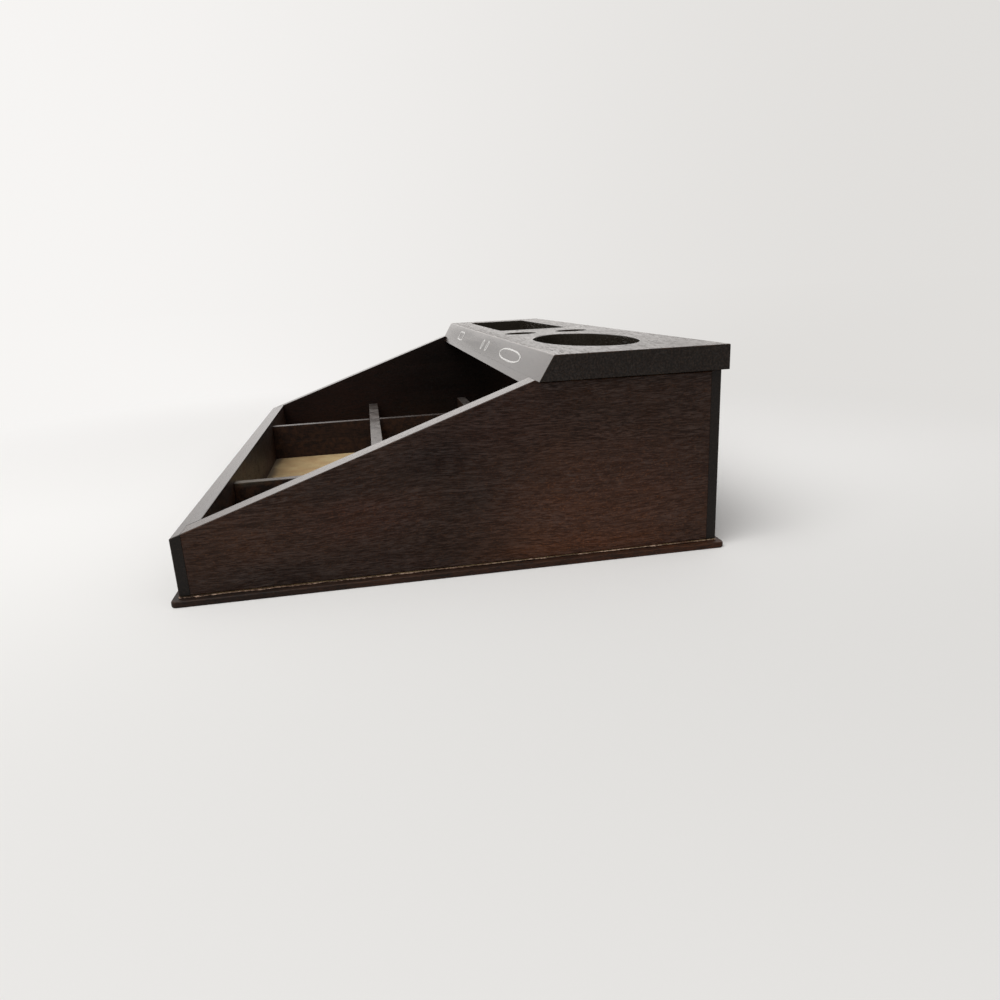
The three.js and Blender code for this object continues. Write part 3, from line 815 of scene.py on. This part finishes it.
def deck_plate(levels, sides, back, eases):
    """A level of the deck: rings of its leaning outline and of its holes, and loops that close its faces."""
    bottom, top = levels
    place, inset, wear = eased_ends(bottom, top, *eases)
    front = bevel_front(place) + np.where(place > (bottom + top) / 2, inset, 0)
    low = np.stack([sides[0] + inset, front], -1)
    high = np.stack([sides[1] - inset, back - inset], -1)
    loops = rounded_loops(low, high, np.maximum(ARRIS - inset, SHARP))
    edge_wear = np.maximum(corner_arris(), wear[:, None])
    outline = Shell(stack(2, place, loops), edge_wear, caps=False)
    shells = [outline]
    loop_points = loops.shape[1]
    last = (len(place) - 1) * loop_points
    bottoms = [np.arange(loop_points)]
    tops = [np.arange(last, last + loop_points)]
    start = len(outline.verts)
    hole_place, growth, hole_wear = eased_ends(bottom, top, HOLE_ARRIS, HOLE_ARRIS)
    for hole in (SLOT, OVAL, PEN_FRONT, PEN_BACK):
        rings = hole_rings(hole, hole_place, growth)
        rim_wear = np.broadcast_to(hole_wear[:, None], rings.shape[:2])
        shells.append(Shell(rings, rim_wear, caps=False, sawn=1.0))
        bottoms.append(start + np.arange(HOLE_POINTS))
        tops.append(start + (len(hole_place) - 1) * HOLE_POINTS + np.arange(HOLE_POINTS))
        start += len(shells[-1].verts)
    return shells, bottoms, tops


def top_deck(material):
    """Deck of two levels: the wide plate on the walls, and the lower plate that drops between them."""
    wide = deck_plate((seat, DECK[1, 2]), DECK[:, 0], DECK[1, 1], (LAYER_EDGE, ARRIS))
    drop = deck_plate((DECK[0, 2], seat + LEVEL_OVERLAP), (-inner_half, inner_half), BACK[0, 1] - DROP_GAP,
                      (DROP_ARRIS, DROP_TOP_EDGE))
    shift = sum(len(s.verts) for s in wide[0])
    fill = [wide[1], wide[2]] + [[loop + shift for loop in loops] for loops in drop[1:]]
    return piece_of_shells("top_deck_piece", wide[0] + drop[0], material, ["top_deck"], fill)


# Dividers
def cross_divider(material):
    """Cross divider: a full-length upper half, and lower parts between the long dividers."""
    low, high = CROSS.copy()
    low[0], high[0] = -inner_half, inner_half
    shells = [block([low[0], low[1], lap_height], high, DIVIDER_ARRIS)]
    cuts = [low[0], LEFT_LONG[0, 0], LEFT_LONG[1, 0], RIGHT_LONG[0, 0], RIGHT_LONG[1, 0], high[0]]
    for left, right in zip(cuts[::2], cuts[1::2]):
        shells.append(block([left, low[1], low[2]], [right, high[1], lap_height + HALF_OVERLAP], SHARP))
    return piece_of_shells("cross_divider_piece", shells, material, ["cross_divider"])


def rear_rail(material):
    """Low rail under the deck's front edge, one straight board."""
    low, high = RAIL.copy()
    low[0], high[0] = -inner_half, inner_half
    rail = block(low, high, DIVIDER_ARRIS)
    return piece_of_shells("rear_rail_piece", [rail], material, ["rear_rail"])


def long_divider(name, limit, material):
    """Long divider: a full-length lower half, and upper parts in front of and behind the cross divider."""
    low, high = limit.copy()
    low[1], high[1] = FRONT[1, 1], RAIL[0, 1]
    shells = [block(low, [high[0], high[1], lap_height], SHARP)]
    for front, back in ((low[1], CROSS[0, 1]), (CROSS[1, 1], high[1])):
        upper_low = [low[0], front, lap_height - HALF_OVERLAP]
        shells.append(block(upper_low, [high[0], back, high[2]], DIVIDER_ARRIS))
    return piece_of_shells(name + "_piece", shells, material, [name])


# Pocket marks on the deck's leaning front. A ring is a shift along X, half sizes in millimetres and a power
MARK_WIDTH = np.array([1.3, 0.6]) * MM  # along X and up the face
MARK_LIFT = 0.03 * MM
MARK_HEIGHT = 4.0 * MM  # middle of the marks, up the leaning face from the deck's rim underside
SLOT_MARK = ((0.0, (8.5, 2.4), 8.0),)
PEN_MARK = ((-6.0, (2.4, 2.4), 2.0), (6.0, (2.4, 2.4), 2.0))
OVAL_MARK = ((0.0, (19.0, 2.4), 2.3),)


def outline_mark(name, hole, rings, material):
    """Flat outlines on the leaning face below a hole: each a band between a curve and a smaller one."""
    lean = np.array([math.sin(DECK_BEVEL), math.cos(DECK_BEVEL)])
    out = np.array([-math.cos(DECK_BEVEL), math.sin(DECK_BEVEL)])
    foot = np.array([float(bevel_front(seat)), seat]) + lean * MARK_HEIGHT + out * MARK_LIFT
    verts, faces = [], []
    for shift, half, power in rings:
        for inward in (0.0, 1.0):
            flat = oval_curve(MARK_POINTS, power) * (np.array(half) * MM - inward * MARK_WIDTH)
            ring = np.empty((MARK_POINTS, 3))
            ring[:, 0] = (hole["centre"][0] + shift) * MM + flat[:, 0]
            ring[:, 1:] = foot + flat[:, 1:] * lean
            verts.append(ring)
        faces.append(ring_quads(2, MARK_POINTS) + 2 * MARK_POINTS * len(faces))
    mesh = bpy.data.meshes.new(name)
    mesh.from_pydata(np.concatenate(verts).tolist(), [], np.concatenate(faces).tolist())
    return finish_piece(placed(name, mesh), material)


# Places of uneven stain and of painted shade: middle and reach in millimetres, colour factor, and added
# roughness
NEAR_PLACES = (
    ((127.0, 46.0, 16.0), (30.0, 55.0, 32.0), (2.4, 2.2, 2.15, 1), 0.0),
    ((127.0, 38.0, 4.0), (30.0, 45.0, 8.0), (1.4, 1.2, 0.9, 1), 0.0),
    ((127.0, -60.0, 18.0), (30.0, 36.0, 18.0), (1.5, 1.45, 1.4, 1), 0.0),
    ((127.0, 12.0, 48.0), (30.0, 32.0, 16.0), (0.9, 0.75, 0.72, 1), 0.0),
    ((127.0, -28.0, 21.0), (30.0, 28.0, 10.0), (1.55, 1.35, 1.35, 1), 0.0),
    ((127.0, -6.0, 38.0), (30.0, 20.0, 12.0), (0.58, 0.54, 0.58, 1), 0.0),
    ((127.0, 6.0, 23.0), (30.0, 14.0, 9.0), (0.75, 0.8, 0.85, 1), 0.0),
    ((127.0, -20.0, 6.0), (30.0, 26.0, 9.0), (0.9, 0.85, 0.85, 1), 0.0),
    ((127.0, -55.0, 6.5), (30.0, 28.0, 8.0), (0.65, 0.68, 0.72, 1), 0.0),
    ((123.0, -42.0, 34.0), (14.0, 52.0, 30.0), (1.0, 1.0, 1.0, 1), -0.13),
)
BASE_PLACES = (
    ((129.0, 55.0, 1.0), (40.0, 60.0, 8.0), (1.7, 1.45, 1.2, 1), 0.0),
    ((129.0, -72.0, 1.0), (40.0, 55.0, 8.0), (0.6, 0.68, 0.75, 1), 0.0),
)
# Painted shade: the far side's inner face darker towards the deck above it
FAR_SHADE_PLACES = (((-118.0, 30.0, 38.0), (40.0, 60.0, 60.0), (0.35, 0.42, 0.48, 1), 0.0),)
# The first entry makes the front end of the right divider's top paler and greyer; the second is painted
# shade on the right divider's near face, in the shadow of the near side.
LONG_PLACES = (
    ((61.1, -74.0, 20.0), (12.0, 22.0, 2.5), (3.2, 5.5, 6.0, 1), 0.2),
    ((63.1, -50.0, 10.0), (2.0, 45.0, 16.0), (0.18, 0.2, 0.22, 1), 0.0),
)
# On the front board's inner face: the first two entries are painted shade, darkening it; the third makes a
# low patch by its foot paler and greyer.
FRONT_PLACES = (
    ((95.0, -76.1, 12.0), (50.0, 4.0, 30.0), (0.2, 0.23, 0.26, 1), 0.0),
    ((0.0, -76.1, 20.0), (90.0, 4.0, 24.0), (0.15, 0.17, 0.2, 1), 0.0),
    ((-30.0, -76.1, 4.0), (36.0, 4.0, 9.0), (1.5, 1.7, 1.7, 1), 0.1),
)
DECK_PLACES = (
    ((118.0, 72.0, 65.3), (60.0, 42.0, 12.0), (1.2, 1.15, 1.1, 1), 0.05),
    ((118.0, 36.0, 66.0), (50.0, 16.0, 6.0), (1.0, 1.0, 1.0, 1), -0.03),
    ((-20.0, 29.0, 60.0), (190.0, 9.0, 9.0), (0.8, 1.0, 1.0, 1), 0.17),
)

# Woods of the boards, each with the axis of its grain and a shift of the pattern in millimetres
side_near = stained_wood("side_wood_near", "y", (11.0, 3.0, 40.0), NEAR_BROWNS, NEAR_DEEP, cloud=0.35,
                         dust=0.12, matt=0.1, shine=0.067, lacquer=0.58, patches=NEAR_PLACES)
# The far side is the near side's wood made darker, with painted shade on it
side_far_shaded = stained_wood("side_wood_far_shaded", "y", (57.0, 90.0, 13.0), FAR_SHADED_BROWNS, upright=0.35, shine=0.12,
                        patches=FAR_SHADE_PLACES)
front_wood = stained_wood("front_wood", "x", (5.0, 31.0, 71.0), INNER_BROWNS, pores=0.6, ends=0.95,
                          upright=0.36, patches=FRONT_PLACES)
back_wood = stained_wood("back_wood", "x", (140.0, 60.0, 9.0), upright=0.3)
deck_wood = stained_wood("deck_wood", "x", (77.0, 21.0, 3.0), DECK_BROWNS, cloud=0.3, ends=1.5, matt=0.14,
                         film=0.13, shine=0.08, lacquer=0.4, level=1.7, coarse=1.5, patches=DECK_PLACES)
divider_wood = stained_wood("divider_wood", "x", (31.0, 8.0, 55.0), INNER_BROWNS, dust=0.6, grains=0.2,
                            matt=0.16, upright=0.45)
long_wood = stained_wood("long_divider_wood", "y", (9.0, 44.0, 21.0), INNER_BROWNS, cloud=0.3, pores=0.5,
                         dust=0.25, matt=0.3, upright=0.4, patches=LONG_PLACES)
base_wood = stained_wood("base_wood", "y", (64.0, 15.0, 88.0), BASE_BROWNS, wear=0.15, dust=0.03, matt=0.55,
                         patches=BASE_PLACES)

# Pieces
base_board(base_wood)
lining_sheet(tan_card())
lining_edge(raw_edge_card())
side_board("right_side", RIGHT, side_near)
side_board("left_side", LEFT, side_far_shaded)
end_board("front_board", FRONT, -1, front_wood)
end_board("back_board", BACK, 1, back_wood)
top_deck(deck_wood)
cross_divider(divider_wood)
rear_rail(divider_wood)
long_divider("left_divider", LEFT_LONG, long_wood)
long_divider("right_divider", RIGHT_LONG, long_wood)
print_ink = pale_print()
outline_mark("slot_mark", SLOT, SLOT_MARK, print_ink)
outline_mark("pen_mark", PEN_FRONT, PEN_MARK, print_ink)
outline_mark("oval_mark", OVAL, OVAL_MARK, print_ink)

# Dowels and pins keep their CAD shapes
beech = plain_beech()
steel = pin_steel()
for node_name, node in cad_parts.items():
    if node_name.startswith(("deck_dowel", "base_pin")):
        node.data.materials.clear()
        node.data.materials.append(beech if node_name.startswith("deck_dowel") else steel)


# Studio. A turn, fade, rise or side is the pair of places, or parts of a direction, that it lies between
FLOOR_REACH = 6.0
# Floor colours: paler far off and darker on the camera's side, as painted light and shade
FLOOR_FAR_PAINTED_LIGHT = (0.955, 0.94, 0.92, 1)
FLOOR_NEAR_PAINTED_SHADE = (0.73, 0.72, 0.7, 1)
FLOOR_TURN = (0.0, 0.3)
FLOOR_ROUGH = 0.9
FLOOR_SHINE = 0.1
FLOOR_FADE = (0.16, 0.42)
BACKDROP_LIT = (0.93, 0.915, 0.9, 1)
BACKDROP_DIM = (0.745, 0.73, 0.71, 1)
BACKDROP_TURN = (-0.45, 0.75)
AMBIENT = (0.42, 0.42, 0.42, 1)
SHEET_RISE = (0.02, 0.17)
SHEET_GLOW = (0.85, 1.9)  # below and above the rise
SHEET_SIDE = (-0.2, 0.5)
NEAR_ROOM = 0.25  # share of the glow on the near side
SHEET_TINT = (1.0, 0.965, 0.94)
LAMP_PLACE = (0.5, -0.5, 1.1)
LAMP_SIZE = 1.0
LAMP_POWER = 12.0

# Camera of the photograph
CAMERA_PLACE = (0.33573, -0.02272, 0.08425)
CAMERA_HEADING = math.radians(9.597)  # from -X towards +Y
CAMERA_PITCH = math.radians(16.215)  # downwards
CAMERA_ROLL = math.radians(-2.755)
CAMERA_LENS = 26.055  # in millimetres, as the sensor
CAMERA_SENSOR = 36.0
CAMERA_NEAREST = 0.01


def backdrop_color(n, sideways):
    """Pale backdrop, a little brighter on the side that the light comes from."""
    return n.mix(n.step(sideways, *BACKDROP_TURN), BACKDROP_LIT, BACKDROP_DIM)


def studio_floor():
    """Wide pale table top, which fades into the background far from the object. Its colour has painted light
    and shade: paler away from the camera, darker on its side.
    """
    mesh = bpy.data.meshes.new("table_top")
    corners = [(x * FLOOR_REACH, y * FLOOR_REACH, 0.0) for x, y in ((-1, -1), (1, -1), (1, 1), (-1, 1))]
    mesh.from_pydata(corners, [], [[0, 1, 2, 3]])
    floor = placed("table_top", mesh)
    material, n, shader, place = new_material("table_pale")
    # Painted light and shade: the floor's colour darker towards the camera's side
    toward = n.step(n.part(place["Object"], 0), *FLOOR_TURN)
    n.feed(shader["Base Color"], n.mix(toward, FLOOR_FAR_PAINTED_LIGHT, FLOOR_NEAR_PAINTED_SHADE))
    shader["Roughness"].default_value = FLOOR_ROUGH
    shader["Specular IOR Level"].default_value = FLOOR_SHINE
    away = n.vectors("LENGTH", place["Object"])[1]
    outward = n.vectors("NORMALIZE", place["Object"])[0]
    backdrop = backdrop_color(n, n.part(outward, 1))
    glow = n.add("ShaderNodeEmission", {"Color": backdrop, "Strength": 1.0})
    fade = n.add("ShaderNodeMixShader", {0: n.step(away, *FLOOR_FADE)})
    n.feed(fade.inputs[1], material.node_tree.nodes["Principled BSDF"].outputs[0])
    n.feed(fade.inputs[2], glow.outputs[0])
    n.feed(material.node_tree.nodes["Material Output"].inputs[0], fade.outputs[0])
    floor.data.materials.append(material)


def studio_world():
    """Pale surroundings: a bright sheet behind and above for gloss, a dimmer room on the near side."""
    world = bpy.data.worlds.new("studio")
    bpy.context.scene.world = world
    world.use_nodes = True
    n = Nodes(world.node_tree)
    back = world.node_tree.nodes["Background"].inputs
    way = n.add("ShaderNodeTexCoord").outputs["Generated"]
    glow = n.step(n.part(way, 2), *SHEET_RISE, *SHEET_GLOW)
    sheet = n.times(n.step(n.part(way, 0), *SHEET_SIDE, 1.0, NEAR_ROOM), glow)
    path = n.add("ShaderNodeLightPath").outputs
    around = n.mix(path["Is Glossy Ray"], AMBIENT, n.stretch(sheet, SHEET_TINT))
    n.feed(back["Color"], n.mix(path["Is Camera Ray"], around, backdrop_color(n, n.part(way, 1))))
    back["Strength"].default_value = 1.0


def overhead_lamp():
    """A square soft box above the near front corner, which looks at the origin."""
    lamp = bpy.data.lights.new("overhead", "AREA")
    lamp.shape = "SQUARE"
    lamp.size = LAMP_SIZE
    lamp.energy = LAMP_POWER
    holder = placed("overhead", lamp)
    holder.location = LAMP_PLACE
    holder.rotation_euler = (-Vector(LAMP_PLACE)).to_track_quat("-Z", "Y").to_euler()


def photo_camera():
    """Camera of the photograph: it looks along its heading and pitch, and is rolled about that line."""
    level_share = math.cos(CAMERA_PITCH)
    ahead = Vector((
        -level_share * math.cos(CAMERA_HEADING),
        level_share * math.sin(CAMERA_HEADING),
        -math.sin(CAMERA_PITCH),
    ))
    level = ahead.cross(Vector((0, 0, 1))).normalized()
    upright = level.cross(ahead)
    right = level * math.cos(CAMERA_ROLL) + upright * math.sin(CAMERA_ROLL)
    up = right.cross(ahead)
    lens = bpy.data.cameras.new("photo_camera")
    lens.sensor_width = CAMERA_SENSOR
    lens.lens = CAMERA_LENS
    lens.clip_start = CAMERA_NEAREST
    camera = placed("photo_camera", lens)
    turn = Matrix((right, up, -ahead)).transposed()
    camera.matrix_world = Matrix.Translation(CAMERA_PLACE) @ turn.to_4x4()
    bpy.context.scene.camera = camera


studio_floor()
studio_world()
overhead_lamp()
photo_camera()
bpy.context.scene.view_settings.view_transform = "Standard"
